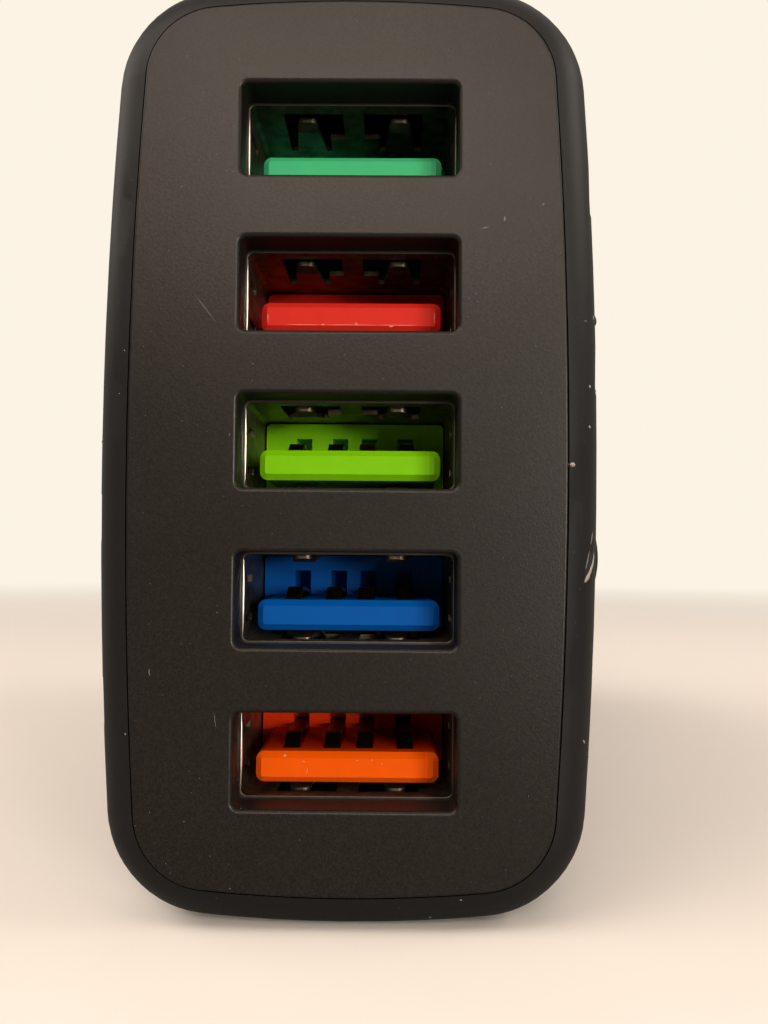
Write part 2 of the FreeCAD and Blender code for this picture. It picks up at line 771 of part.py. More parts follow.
def make_pin(z):
    """Turned plug pin: a round tip, a neck for the sleeve, a shank and collar in the stem, and a spigot."""
    neck = sleeve_radius - sleeve_wall - sleeve_gap
    inner = stem_end - stem_end_wall
    tip = stem_end + pin_length
    shoulder = stem_end + sleeve_length
    spigot = inner - pin_collar - strip_sheet - pin_spigot_reach
    points = [(0, spigot), (pin_spigot_radius, spigot), (pin_spigot_radius, inner - pin_collar),
              (pin_collar_radius, inner - pin_collar), (pin_collar_radius, inner), (pin_shank_radius, inner),
              (pin_shank_radius, stem_end), (neck, stem_end), (neck, shoulder), (pin_radius, shoulder),
              (pin_radius, tip - pin_radius)]
    lines = [Part.makeLine(V(0, a[1], z + a[0]), V(0, b[1], z + b[0])) for a, b in zip(points, points[1:])]
    bulge = pin_radius * math.sqrt(0.5)
    nose_start = tip - pin_radius
    nose = Part.Arc(V(0, nose_start, z + pin_radius), V(0, nose_start + bulge, z + bulge), V(0, tip, z))
    axis = Part.makeLine(V(0, tip, z), V(0, spigot, z))
    section = Part.Face(Part.Wire(lines + [nose.toShape(), axis]))
    return section.revolve(V(0, 0, z), V(0, 1, 0), 360)


def make_sleeve(z):
    """Insulating sleeve round a pin's neck."""
    foot = V(0, stem_end, z)
    outer = Part.makeCylinder(sleeve_radius, sleeve_length, foot, V(0, 1, 0))
    return outer.cut(Part.makeCylinder(sleeve_radius - sleeve_wall, sleeve_length, foot, V(0, 1, 0)))


def make_contact_strip(z):
    """Brass strip, riveted to a pin inside the stem and bent to lie on the power board."""
    half = strip_sheet / 2
    eyelet_y = stem_end - stem_end_wall - pin_collar - half
    run_x = strip_side_gap + half - (stem_width / 2 - stem_wall)
    pad_x = mount_face + half
    slope_end = power_board_rear + strip_run_out
    path = [(strip_eyelet, eyelet_y), (run_x, eyelet_y), (run_x, slope_end + strip_slope),
            (pad_x, slope_end), (pad_x, power_board_rear - strip_pad)]
    strip = bent_strip(path, strip_sheet, lambda x, y: V(x, y, z - strip_width / 2), V(0, 0, strip_width))
    hole = Part.makeCylinder(pin_spigot_radius + pin_bore_gap, strip_sheet + 2 * overcut,
                             V(0, eyelet_y - half - overcut, z), V(0, 1, 0))
    return strip.cut(hole)


def all_pieces():
    """Every piece by its name. The power board comes last, because it is drilled for the others' leads."""
    pieces = {"housing": make_housing(), "front_panel": make_front_panel()}
    for i, z in enumerate(port_heights):
        for kind, make in (("shell", make_shell), ("insulator", make_insulator), ("contacts", make_contacts)):
            pieces[f"port_{i + 1}_{kind}"] = make().translated(V(0, 0, z))
    pieces["port_board"] = make_port_board()
    pieces["port_controllers"] = make_port_controllers()
    for name, z in pin_places().items():
        pieces[f"{name}_pin"] = make_pin(z)
        pieces[f"{name}_pin_sleeve"] = make_sleeve(z)
        pieces[f"{name}_contact_strip"] = make_contact_strip(z)
    output_row = front_row + output_cap_diameter / 2
    for i in range(2):
        z = top_edge - output_cap_diameter / 2 - i * (output_cap_diameter + part_gap)
        can = make_capacitor(output_cap_diameter, output_cap_height, output_row, z)
        pieces[f"output_capacitor_{i + 1}"] = can
        z = primary_cap_diameter / 2 - top_edge + i * (primary_cap_diameter + part_gap)
        can = make_capacitor(primary_cap_diameter, primary_cap_height, primary_row, z)
        pieces[f"primary_capacitor_{i + 1}"] = can
    pieces["transformer_core"] = make_transformer_core()
    pieces["transformer_bobbin"] = make_transformer_bobbin()
    pieces["transformer_winding"] = make_transformer_winding()
    pieces["fuse"] = make_fuse()
    pieces["bridge_rectifier"] = make_bridge_rectifier()
    pieces["x_capacitor"] = make_x_capacitor()
    pieces["y_capacitor"] = make_y_capacitor()
    pieces["switch_transistor"] = make_switch_transistor()
    pieces["heat_sink"] = make_heat_sink()
    pieces["output_rectifier"] = make_output_rectifier()
    pieces["optocoupler"] = make_optocoupler()
    pieces["power_board"] = make_power_board()
    return pieces


os.makedirs("parts", exist_ok=True)
stand = V(0, -overall_depth / 2, half_height)
for node, piece in all_pieces().items():
    piece.translated(stand).exportStep(os.path.join("parts", node + ".step"))
print(f"body {body_width:.1f} x {body_depth:.1f} x {body_height:.1f} mm, {overall_depth:.1f} with the plug")
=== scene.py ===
# %% [markdown]
# # A plug-in USB charger with five sockets
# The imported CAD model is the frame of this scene: every solid stays where it is, and this script gives it
# a camera, light, finishes and the small signs of use that the real charger has. All places are worked
# out from the frame, in millimetres measured from the middle socket, on the plane of the panel's front.

# %% Load the frame
import json
import math
import bmesh
import bpy
from mathutils import Euler, Matrix, Vector
from mathutils.bvhtree import BVHTree


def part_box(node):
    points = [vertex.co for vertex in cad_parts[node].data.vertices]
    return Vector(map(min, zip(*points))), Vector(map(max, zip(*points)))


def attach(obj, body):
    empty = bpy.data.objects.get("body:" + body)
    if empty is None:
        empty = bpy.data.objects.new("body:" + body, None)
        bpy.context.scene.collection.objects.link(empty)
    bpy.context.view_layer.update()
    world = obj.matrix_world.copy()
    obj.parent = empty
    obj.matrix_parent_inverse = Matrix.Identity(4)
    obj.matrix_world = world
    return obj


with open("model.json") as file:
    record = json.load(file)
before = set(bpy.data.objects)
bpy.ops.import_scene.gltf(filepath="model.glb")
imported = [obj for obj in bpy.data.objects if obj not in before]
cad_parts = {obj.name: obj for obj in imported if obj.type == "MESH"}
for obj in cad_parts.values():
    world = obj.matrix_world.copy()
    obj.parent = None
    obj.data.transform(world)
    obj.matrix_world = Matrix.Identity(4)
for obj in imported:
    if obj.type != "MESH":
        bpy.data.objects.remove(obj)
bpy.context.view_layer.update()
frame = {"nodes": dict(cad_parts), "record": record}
nodes = frame["nodes"]
mm = 0.001
panel_low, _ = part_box("front_panel")
middle_low, middle_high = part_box("port_3_shell")
middle_socket = Vector((0, panel_low.y, (middle_low.z + middle_high.z) / 2))
print(len(nodes), "CAD nodes, middle socket at", [round(v / mm, 2) for v in middle_socket])


# %% [markdown]
# ## Camera
# The picture was taken from close by, about as far away as the charger is tall, so the perspective is
# strong and a long lens from further away would not do. The camera's place, turn and focal length were
# fitted to the corners of the five sockets, whose size and spacing are known, then turned by a tenth of a
# degree so that the sockets and the outline share what is left of the error. They are written here as
# real sizes.

# %% Camera
picture_height = 1024
focal_pixels = 926.9
sensor = 36.0
eye = middle_socket + Vector((2.52, -53.01, -6.28)) * mm
view_angles = [math.radians(angle) for angle in (-2.370, 0.416, -0.410)]
view_turn = Euler(view_angles).to_matrix().transposed()

camera_data = bpy.data.cameras.new("camera")
camera_data.sensor_width = sensor
camera_data.lens = focal_pixels * sensor / picture_height
camera_data.clip_start = 1 * mm
camera_data.clip_end = 20
camera = bpy.data.objects.new("camera", camera_data)
columns = [view_turn @ Vector(axis) for axis in ((1, 0, 0), (0, 0, 1), (0, -1, 0))]
camera.matrix_world = Matrix.Translation(eye) @ Matrix(columns).transposed().to_4x4()
bpy.context.scene.collection.objects.link(camera)
bpy.context.scene.camera = camera
bpy.context.scene.view_settings.view_transform = "Standard"
print(f"camera {abs(eye.y - panel_low.y) / mm:.0f} mm from the panel, lens {camera_data.lens:.1f} mm")


# %% [markdown]
# ## Helpers for colours and nodes
# Colours are written as the hex values that a picture shows and turned to linear light by one function. A
# second function adds any shader or geometry node, with its settings, values and links in one line.

# %% Colours and nodes
def colour(code):
    """Linear RGBA of an sRGB hex colour."""
    channels = [int(code[i:i + 2], 16) / 255 for i in (1, 3, 5)]
    linear = [c / 12.92 if c <= 0.04045 else ((c + 0.055) / 1.055) ** 2.4 for c in channels]
    return (*linear, 1.0)


def add_node(tree, kind, inputs=None, **settings):
    """Adds one node: settings are its attributes, and inputs are values or the sockets that feed it."""
    node = tree.nodes.new(kind)
    for name, value in settings.items():
        setattr(node, name, value)
    for name, value in (inputs or {}).items():
        if isinstance(value, bpy.types.NodeSocket):
            tree.links.new(value, node.inputs[name])
        else:
            node.inputs[name].default_value = value
    return node


def start_material(name, **values):
    """New material with these values on its shader. Returns it with its tree, shader and coordinates."""
    material = bpy.data.materials.new(name)
    material.use_nodes = True
    tree = material.node_tree
    shader = tree.nodes["Principled BSDF"]
    for socket, value in values.items():
        shader.inputs[socket.replace("_", " ")].default_value = value
    coordinates = add_node(tree, "ShaderNodeTexCoord").outputs["Object"]
    return material, tree, shader, coordinates


def grain_scale(size):
    """Scale of a texture whose cells are this many millimetres across."""
    return 1 / (size * mm)


print("mid grey", [round(c, 3) for c in colour("#808080")[:3]])


# %% [markdown]
# ## Stage
# The charger stands on a pale sheet of paper that runs up behind it in one curve. A floor and a wall
# would show the line where they meet. The paper is pale to the eye and darker in reflections, and it
# throws little light back, which would fill the sockets from below.

# %% Sweep
# The stage is so much larger than the charger that its sizes are in metres.
floor_reach = 2.5
sweep_start = 0.5
sweep_radius = 0.4
sweep_top = 1.4
sweep_steps = 16
profile = [(-floor_reach, 0.0), (sweep_start, 0.0)]
for step in range(1, sweep_steps + 1):
    angle = math.radians(90 * step / sweep_steps)
    run, rise = sweep_radius * math.sin(angle), sweep_radius * (1 - math.cos(angle))
    profile.append((sweep_start + run, rise))
profile.append((sweep_start + sweep_radius, sweep_top))
sweep_mesh = bpy.data.meshes.new("sweep")
corners = [(x, y, z) for y, z in profile for x in (-floor_reach, floor_reach)]
quads = [(2 * i, 2 * i + 1, 2 * i + 3, 2 * i + 2) for i in range(len(profile) - 1)]
sweep_mesh.from_pydata(corners, [], quads)
sweep_mesh.polygons.foreach_set("use_smooth", [True] * len(quads))
sweep = bpy.data.objects.new("sweep", sweep_mesh)
bpy.context.scene.collection.objects.link(sweep)
print("sweep with", len(quads), "faces")

# %% Paper
# Tone of the room, and of the paper far off.
background = colour("#FCF3E4")
paper_mirrored = 0.3
fade_start = 0.15
fade_end = 0.55


def seen_share(tree, mirror_share):
    """One for rays from the camera or through glass, a share for mirrored rays, and none for other light."""
    rays = add_node(tree, "ShaderNodeLightPath").outputs
    mirrored = add_node(tree, "ShaderNodeMath", {0: rays["Is Glossy Ray"], 1: mirror_share,
                                                 2: rays["Is Transmission Ray"]}, operation="MULTIPLY_ADD")
    seen = add_node(tree, "ShaderNodeMath", {0: rays["Is Camera Ray"], 1: mirrored.outputs["Value"]},
                    use_clamp=True)
    return seen.outputs["Value"]


def seamless_paper():
    """Seamless paper: matt, warm white, with a faint tooth."""
    material, tree, shader, place = start_material("seamless_paper", Roughness=0.9, Specular_IOR_Level=0.1)
    tooth = add_node(tree, "ShaderNodeTexNoise", {"Vector": place, "Scale": grain_scale(40), "Detail": 3.0})
    shade = add_node(tree, "ShaderNodeMix", {"Factor": tooth.outputs["Fac"], "A": colour("#FAF7F4"),
                                             "B": colour("#F7F4F0")}, data_type="RGBA")
    seen = seen_share(tree, paper_mirrored)
    pale = add_node(tree, "ShaderNodeMix", {"Factor": seen, "A": colour("#78736C"),
                                            "B": shade.outputs["Result"]}, data_type="RGBA")
    tree.links.new(pale.outputs["Result"], shader.inputs["Base Color"])
    # Near the charger the lamps light the paper, which keeps the shadow. Far off it fades to an even tone.
    distance = add_node(tree, "ShaderNodeVectorMath", {0: place}, operation="LENGTH")
    far = add_node(tree, "ShaderNodeMapRange", {"Value": distance.outputs["Value"], "From Min": fade_start,
                                                "From Max": fade_end}, interpolation_type="SMOOTHSTEP")
    even = add_node(tree, "ShaderNodeMath", {0: far.outputs["Result"], 1: seen}, operation="MULTIPLY")
    glow = add_node(tree, "ShaderNodeEmission", {"Color": background})
    blend = add_node(tree, "ShaderNodeMixShader", {0: even.outputs["Value"], 1: shader.outputs["BSDF"],
                                                   2: glow.outputs["Emission"]})
    tree.links.new(blend.outputs["Shader"], tree.nodes["Material Output"].inputs["Surface"])
    return material


sweep_mesh.materials.append(seamless_paper())
print("paper that fades between", fade_start, "and", fade_end, "m from the charger")


# %% [markdown]
# ## Light
# The real sockets are dark inside, with back walls lit on their left only, so much of the light comes
# from too high to reach in, and a lamp on the right, nearly level, does the rest. A small lamp above the
# camera gives the panel its lighter top. The others, two above the front, one at each side and one
# overhead, do the same for the upper part of the round rim. A bright room would need no lamps, but it
# would light the sockets all over.

# %% Lamps
def soft_lamp(name, place, aim, width, height, watts, tint):
    """Area lamp at a place, aimed at a point. Places are in metres from the middle socket."""
    data = bpy.data.lights.new(name, "AREA")
    data.shape = "RECTANGLE"
    data.size, data.size_y = width, height
    data.energy = watts
    data.color = colour(tint)[:3]
    lamp = bpy.data.objects.new(name, data)
    lamp.location = middle_socket + Vector(place)
    lamp.rotation_euler = (Vector(aim) - Vector(place)).to_track_quat("-Z", "Y").to_euler()
    bpy.context.scene.collection.objects.link(lamp)
    return lamp


lamps = [
    soft_lamp("top_lamp", (-0.60, -0.36, 0.66), (0, 0, 0), 1.0, 0.5, 4.2, "#FFF2E4"),
    soft_lamp("rim_top_lamp", (-0.05, -0.36, 0.78), (0, 0, 0), 1.0, 0.3, 2.4, "#FFE6D2"),
    soft_lamp("panel_lamp", (-0.02, -0.62, 0.31), (0, 0, 0), 0.40, 0.18, 2.0, "#FFE8D4"),
    soft_lamp("side_lamp", (0.47, -0.80, 0.06), (0, 0, 0), 0.24, 0.24, 6.5, "#FFF6EA"),
    soft_lamp("left_rim_lamp", (-0.82, 0.26, 0.50), (0, 0, 0), 0.6, 0.4, 1.6, "#FFF2E4"),
    soft_lamp("right_rim_lamp", (0.88, -0.04, 0.56), (0, 0, 0), 0.6, 0.4, 3.4, "#FFF2E4"),
    soft_lamp("overhead_lamp", (0.20, 0.42, 0.95), (0, 0.05, 0), 1.4, 0.6, 1.6, "#FFF6EE"),
]
print(len(lamps), "lamps")

# %% Room
room_mirrored = 0.1
room_level = 0.055
world = bpy.data.worlds.new("room")
world.use_nodes = True
room = world.node_tree.nodes["Background"].inputs
room["Color"].default_value = background
room_seen = seen_share(world.node_tree, room_mirrored)
strength = add_node(world.node_tree, "ShaderNodeMapRange", {"Value": room_seen, "To Min": room_level,
                                                            "To Max": 1.0})
world.node_tree.links.new(strength.outputs["Result"], room["Strength"])
bpy.context.scene.world = world
print("room that lights the charger at", room_level, "of the tone that the eye sees")


# %% [markdown]
# ## Moulded plastics
# The panel was moulded against a spark-eroded steel face, which leaves a fine even grain and takes the
# shine away. The housing came from a smoother tool, so its round rim carries a soft streak of light. The
# grain could be real bumps in the mesh, but at a tenth of a millimetre a bump from a noise texture does
# the same.

# %% Panel
face_depth = 0.01
wall_depth = 0.08
wall_roughness = 0.5


def panel_finish():
    """Polycarbonate blend, moulded: a spark grain scatters the light, and handling polished the face."""
    material, tree, shader, place = start_material("spark_textured_polycarbonate", Specular_IOR_Level=0.28)
    grain = add_node(tree, "ShaderNodeTexNoise", {"Vector": place, "Scale": grain_scale(0.12), "Detail": 2.0,
                                                  "Roughness": 0.6})
    pits = add_node(tree, "ShaderNodeMapRange", {"Value": grain.outputs["Fac"], "From Min": 0.3,
                                                 "From Max": 0.7})
    tone = add_node(tree, "ShaderNodeMix", {"Factor": pits.outputs["Result"], "A": colour("#0A0807"),
                                            "B": colour("#1D1916")}, data_type="RGBA")
    # The face is polished in patches. The edges and the walls of the openings, behind it, stay dull.
    patches = add_node(tree, "ShaderNodeTexNoise", {"Vector": place, "Scale": grain_scale(7.0),
                                                    "Detail": 4.0})
    sheen = add_node(tree, "ShaderNodeMapRange", {"Value": patches.outputs["Fac"], "To Min": 0.31,
                                                  "To Max": 0.39})
    depth = add_node(tree, "ShaderNodeSeparateXYZ", {"Vector": place}).outputs["Y"]
    walls = add_node(tree, "ShaderNodeMapRange", {"Value": depth, "From Min": panel_low.y + face_depth * mm,
                                                  "From Max": panel_low.y + wall_depth * mm,
                                                  "To Max": wall_roughness})
    dull = add_node(tree, "ShaderNodeMath", {0: sheen.outputs["Result"], 1: walls.outputs["Result"]},
                    operation="MAXIMUM")
    bump = add_node(tree, "ShaderNodeBump", {"Height": grain.outputs["Fac"], "Strength": 0.35,
                                             "Distance": 0.02 * mm})
    tree.links.new(tone.outputs["Result"], shader.inputs["Base Color"])
    tree.links.new(dull.outputs["Value"], shader.inputs["Roughness"])
    tree.links.new(bump.outputs["Normal"], shader.inputs["Normal"])
    return material


panel_plastic = panel_finish()
print(panel_plastic.name, "with", len(panel_plastic.node_tree.nodes), "nodes")


# %% Housing
def housing_finish():
    """The same blend from a finer tool: a satin skin, neutral black, with faint rub marks."""
    material, tree, shader, place = start_material("satin_polycarbonate", Specular_IOR_Level=0.24)
    skin = add_node(tree, "ShaderNodeTexNoise", {"Vector": place, "Scale": grain_scale(0.3), "Detail": 2.0})
    rubs = add_node(tree, "ShaderNodeTexNoise", {"Vector": place, "Scale": grain_scale(5.0), "Detail": 5.0})
    tone = add_node(tree, "ShaderNodeMix", {"Factor": rubs.outputs["Fac"], "A": colour("#0F0E0F"),
                                            "B": colour("#161516")}, data_type="RGBA")
    sheen = add_node(tree, "ShaderNodeMapRange", {"Value": rubs.outputs["Fac"], "To Min": 0.44,
                                                  "To Max": 0.54})
    bump = add_node(tree, "ShaderNodeBump", {"Height": skin.outputs["Fac"], "Strength": 0.12,
                                             "Distance": 0.02 * mm})
    tree.links.new(tone.outputs["Result"], shader.inputs["Base Color"])
    tree.links.new(sheen.outputs["Result"], shader.inputs["Roughness"])
    tree.links.new(bump.outputs["Normal"], shader.inputs["Normal"])
    return material


housing_plastic = housing_finish()
print(housing_plastic.name, "with", len(housing_plastic.node_tree.nodes), "nodes")


# %% [markdown]
# ## Tongues
# Each tongue is a small moulding in a bright colour of its own. They share everything but the colour, so
# one function makes them all: a smooth, slightly waxy plastic with a little flow streaking, and the fine
# upright line that an insert in the mould has left near the right end. Deep in the socket light arrives
# only after meeting the same plastic, so the colour there is painted shade, darker and redder for the
# warm colours: it changes between two depths behind the panel.

# %% Tongues
mould_line = 4.8
mould_line_reach = 0.04
mould_line_lift = 0.14
tongue_front = 3.5
tongue_painted_shade_depth = 5.0


def tongue_plastic(name, code, painted_deep_shade_code):
    """Coloured thermoplastic, moulded: smooth, slightly waxy, with faint streaks from the flow."""
    material, tree, shader, place = start_material(name, Roughness=0.45, Specular_IOR_Level=0.08)
    streaks = add_node(tree, "ShaderNodeTexNoise", {"Vector": place, "Scale": grain_scale(1.2),
                                                    "Detail": 3.0})
    value = add_node(tree, "ShaderNodeMapRange", {"Value": streaks.outputs["Fac"], "To Min": 0.92,
                                                  "To Max": 1.04})
    axes = add_node(tree, "ShaderNodeSeparateXYZ", {"Vector": place}).outputs
    line = add_node(tree, "ShaderNodeMath", {0: axes["X"], 1: mould_line * mm, 2: mould_line_reach * mm},
                    operation="COMPARE")
    raised = add_node(tree, "ShaderNodeMath", {0: line.outputs["Value"], 1: mould_line_lift,
                                               2: value.outputs["Result"]}, operation="MULTIPLY_ADD")
    # Painted shade: deeper in the socket the colour turns to the second, darker tone.
    depth = add_node(tree, "ShaderNodeMapRange", {"Value": axes["Y"],
                                                  "From Min": panel_low.y + tongue_front * mm,
                                                  "From Max": panel_low.y + tongue_painted_shade_depth * mm})
    hue = add_node(tree, "ShaderNodeMix", {"Factor": depth.outputs["Result"], "A": colour(code),
                                           "B": colour(painted_deep_shade_code)}, data_type="RGBA")
    tone = add_node(tree, "ShaderNodeHueSaturation", {"Value": raised.outputs["Value"],
                                                      "Color": hue.outputs["Result"]})
    ripple = add_node(tree, "ShaderNodeTexNoise", {"Vector": place, "Scale": grain_scale(0.4),
                                                   "Detail": 2.0})
    bump = add_node(tree, "ShaderNodeBump", {"Height": ripple.outputs["Fac"], "Strength": 0.1,
                                             "Distance": 0.03 * mm})
    tree.links.new(tone.outputs["Color"], shader.inputs["Base Color"])
    tree.links.new(bump.outputs["Normal"], shader.inputs["Normal"])
    return material


# Colour of the front, and the painted shade deep in the socket, where light arrives only after
# meeting the same plastic.
tongue_colours_and_painted_shades = {
    "mint": ("#3FB87C", "#3AB078"),
    "red": ("#D42C22", "#C01C14"),
    "lime": ("#7AC806", "#80D008"),
    "blue": ("#0054A8", "#0050A4"),
    "orange": ("#EE5A02", "#D83000"),
}
tongues = [tongue_plastic(f"{name}_thermoplastic", *codes) for name, codes in tongue_colours_and_painted_shades.items()]
print(len(tongues), "tongue plastics")


# %% [markdown]
# ## Metals
# Sheet, strip and turned metal differ by how they were worked: the socket shells are rolled sheet with
# nickel over it, the contacts are plated bronze, and the pins were turned on a lathe. Each could have a
# tree of its own, but only the tones, the roughness and the lines of the work differ, so one function
# makes them all. A metal keeps the default index of refraction, and its roughness follows those lines.

# %% Metals
def worked_metal(name, dark, light, roughness, spacing, stretch):
    """Metal, tarnished in patches, with lines from the work at a spacing in mm, drawn out by stretch."""
    material, tree, shader, place = start_material(name, Metallic=1.0)
    tarnish = add_node(tree, "ShaderNodeTexNoise", {"Vector": place, "Scale": grain_scale(0.9),
                                                    "Detail": 3.0})
    clear = add_node(tree, "ShaderNodeMapRange", {"Value": tarnish.outputs["Fac"], "From Min": 0.35,
                                                  "From Max": 0.65})
    tone = add_node(tree, "ShaderNodeMix", {"Factor": clear.outputs["Result"], "A": colour(dark),
                                            "B": colour(light)}, data_type="RGBA")
    drawn = add_node(tree, "ShaderNodeMapping", {"Vector": place, "Scale": stretch})
    lines = add_node(tree, "ShaderNodeTexNoise", {"Vector": drawn.outputs["Vector"],
                                                  "Scale": grain_scale(spacing), "Detail": 3.0})
    dull = add_node(tree, "ShaderNodeMapRange", {"Value": lines.outputs["Fac"], "To Min": roughness - 0.07,
                                                 "To Max": roughness + 0.09})
    bump = add_node(tree, "ShaderNodeBump", {"Height": lines.outputs["Fac"], "Strength": 0.12,
                                             "Distance": 0.002 * mm})
    tree.links.new(tone.outputs["Result"], shader.inputs["Base Color"])
    tree.links.new(dull.outputs["Result"], shader.inputs["Roughness"])
    tree.links.new(bump.outputs["Normal"], shader.inputs["Normal"])
    return material


# Sheet with a dull nickel coat, bronze strip, turned brass, bare brass strip and bright aluminium.
shell_metal = worked_metal("nickel_plated_sheet", "#5A5347", "#897E6B", 0.42, 0.5, (1.0, 0.2, 1.0))
contact_metal = worked_metal("plated_spring_bronze", "#4F4230", "#6E5E46", 0.34, 0.4, (1.0, 0.15, 1.0))
pin_metal = worked_metal("turned_nickel_plated_brass", "#B9B5AB", "#CCC8BE", 0.24, 0.15, (0.1, 1.0, 0.1))
strip_brass = worked_metal("rolled_brass_strip", "#B98D42", "#CDA154", 0.3, 0.2, (1.0, 0.1, 1.0))
sink_aluminium = worked_metal("mill_finish_aluminium", "#BFBFC2", "#CFCFD2", 0.36, 0.25, (1.0, 1.0, 0.08))
metals = (shell_metal, contact_metal, pin_metal, strip_brass, sink_aluminium)
print("metals:", *(metal.name for metal in metals))

# %% Shell edges
painted_edge_shade_full = 0.05
painted_edge_shade_end = 0.12


def paint_shade_on_shell_edges(material):
    """Darkens the front edge of the shells as painted shade, so that their rounded edges glint less."""
    tree = material.node_tree
    base = tree.nodes["Principled BSDF"].inputs["Base Color"]
    place = tree.nodes["Texture Coordinate"].outputs["Object"]
    depth = add_node(tree, "ShaderNodeSeparateXYZ", {"Vector": place}).outputs["Y"]
    # Painted shade: the shells' front edges take a darker tone, so that they glint less.
    plated = add_node(tree, "ShaderNodeMapRange", {"Value": depth,
                                                   "From Min": middle_low.y + painted_edge_shade_full * mm,
                                                   "From Max": middle_low.y + painted_edge_shade_end * mm})
    tone = add_node(tree, "ShaderNodeMix", {"Factor": plated.outputs["Result"], "A": colour("#4A4742"),
                                            "B": base.links[0].from_socket}, data_type="RGBA")
    tree.links.new(tone.outputs["Result"], base)


paint_shade_on_shell_edges(shell_metal)
print("dark edge on the first", painted_edge_shade_end, "mm of the shells")


# %% [markdown]
# ## The other parts
# Of the rest only the sleeves on the pins show while the housing is closed, but the part can be taken
# apart, so each has a plain version of its own finish, such as glass-cloth laminate, sintered ferrite,
# wound tape or moulded epoxy. Each could have its own pattern, but two tones and a fine bump are all that
# sets such surfaces apart at this size, so one function makes them.

# %% Finishes on the CAD nodes
def mottled(name, dark, light, size, roughness, depth):
    """Finish with two tones in cells of a size in mm, and a bump of a depth in mm."""
    material, tree, shader, place = start_material(name, Roughness=roughness)
    cells = add_node(tree, "ShaderNodeTexNoise", {"Vector": place, "Scale": grain_scale(size),
                                                  "Detail": 3.0})
    tone = add_node(tree, "ShaderNodeMix", {"Factor": cells.outputs["Fac"], "A": colour(dark),
                                            "B": colour(light)}, data_type="RGBA")
    bump = add_node(tree, "ShaderNodeBump", {"Height": cells.outputs["Fac"], "Strength": 0.3,
                                             "Distance": depth * mm})
    tree.links.new(tone.outputs["Result"], shader.inputs["Base Color"])
    tree.links.new(bump.outputs["Normal"], shader.inputs["Normal"])
    return material


# What they give the eye: the sleeve is satin black, the laminate a clouded green, ferrite grey and matt,
# phenolic dark brown, the tape a glossy yellow, the shrink sleeve a dark blue with a sheen, the moulded box
# amber, the dipped coat an uneven blue, and the devices' epoxy black and dull.
finishes = {
    "housing_plastic": housing_plastic,
    "panel_plastic": panel_plastic,
    "shell_metal": shell_metal,
    "contact_metal": contact_metal,
    "pin_metal": pin_metal,
    "strip_brass": strip_brass,
    "sink_aluminium": sink_aluminium,
    "sleeve_plastic": mottled("moulded_sleeve", "#151516", "#1E1E20", 1.5, 0.42, 0.01),
    "board_laminate": mottled("glass_cloth_laminate", "#155236", "#1F6A45", 0.6, 0.4, 0.02),
    "ferrite": mottled("sintered_ferrite", "#3A3A3D", "#4A4A4C", 0.3, 0.55, 0.02),
    "bobbin_plastic": mottled("phenolic_moulding", "#2B2521", "#3A322C", 1.0, 0.45, 0.01),
    "winding_tape": mottled("polyester_tape", "#DDAF22", "#E8C140", 2.0, 0.25, 0.03),
    "capacitor_sleeve": mottled("shrink_sleeve", "#23303E", "#2B3A4A", 3.0, 0.3, 0.01),
    "x_capacitor_box": mottled("moulded_box", "#CFA63B", "#D8B24C", 2.0, 0.45, 0.01),
    "y_capacitor_coat": mottled("dipped_epoxy", "#2F5FA8", "#3B6DB8", 1.5, 0.3, 0.05),
    "device_epoxy": mottled("moulded_epoxy", "#1B1B1C", "#262627", 0.4, 0.5, 0.01),
}
for name, plastic in zip(tongue_colours_and_painted_shades, tongues):
    finishes[f"tongue_{name}"] = plastic
for part in frame["record"]["subparts"]:
    nodes[part["node"]].data.materials[0] = finishes[part["material_slot"]]


# %% [markdown]
# ## Signs of use
# The real charger has been carried about: hairline scratches and specks on the panel, pale nicks on the
# rim, and on the right a gouge whose torn lip stands out from the outline. Painting them into a texture
# would tie them to a picture, so each mark is a thin raised stroke. A stroke is drawn as a few points in
# millimetres from the middle socket, dropped onto the CAD surface behind them, and a node tree gives it a
# round section with tapered ends.

# %% Points on a surface
cast_from = -20.0


def surface_of(name):
    """Search tree over the faces of a CAD node."""
    mesh = nodes[name].data
    vertices = [nodes[name].matrix_world @ vertex.co for vertex in mesh.vertices]
    return BVHTree.FromPolygons(vertices, [polygon.vertices for polygon in mesh.polygons])


def on_surface(surface, x, z, lift):
    """Point of the surface straight behind (x, z), lifted off it along its normal. All in mm."""
    start = middle_socket + Vector((x, cast_from, z)) * mm
    spot, normal, _, _ = surface.ray_cast(start, Vector((0, 1, 0)))
    return spot + normal * lift * mm


panel_surface = surface_of("front_panel")
rim_surface = surface_of("housing")
print("panel beside the middle socket at", [round(v / mm, 2) for v in on_surface(panel_surface, 9, 0, 0)])


# %% Tapered stroke
def start_tree(name, **sockets):
    """New geometry tree with a mesh input, named inputs for its sizes, and a mesh output."""
    tree = bpy.data.node_groups.new(name, "GeometryNodeTree")
    tree.interface.new_socket("Mesh", in_out="INPUT", socket_type="NodeSocketGeometry")
    for socket, kind in sockets.items():
        tree.interface.new_socket(socket.replace("_", " "), in_out="INPUT", socket_type=kind)
    tree.interface.new_socket("Mesh", in_out="OUTPUT", socket_type="NodeSocketGeometry")
    return tree, add_node(tree, "NodeGroupInput").outputs


def end_tree(tree, geometry, material):
    """Closes a tree: instances become real, and the material goes on."""
    real = add_node(tree, "GeometryNodeRealizeInstances", {"Geometry": geometry})
    dressed = add_node(tree, "GeometryNodeSetMaterial", {"Geometry": real.outputs["Geometry"],
                                                         "Material": material})
    add_node(tree, "NodeGroupOutput", {"Mesh": dressed.outputs["Geometry"]})


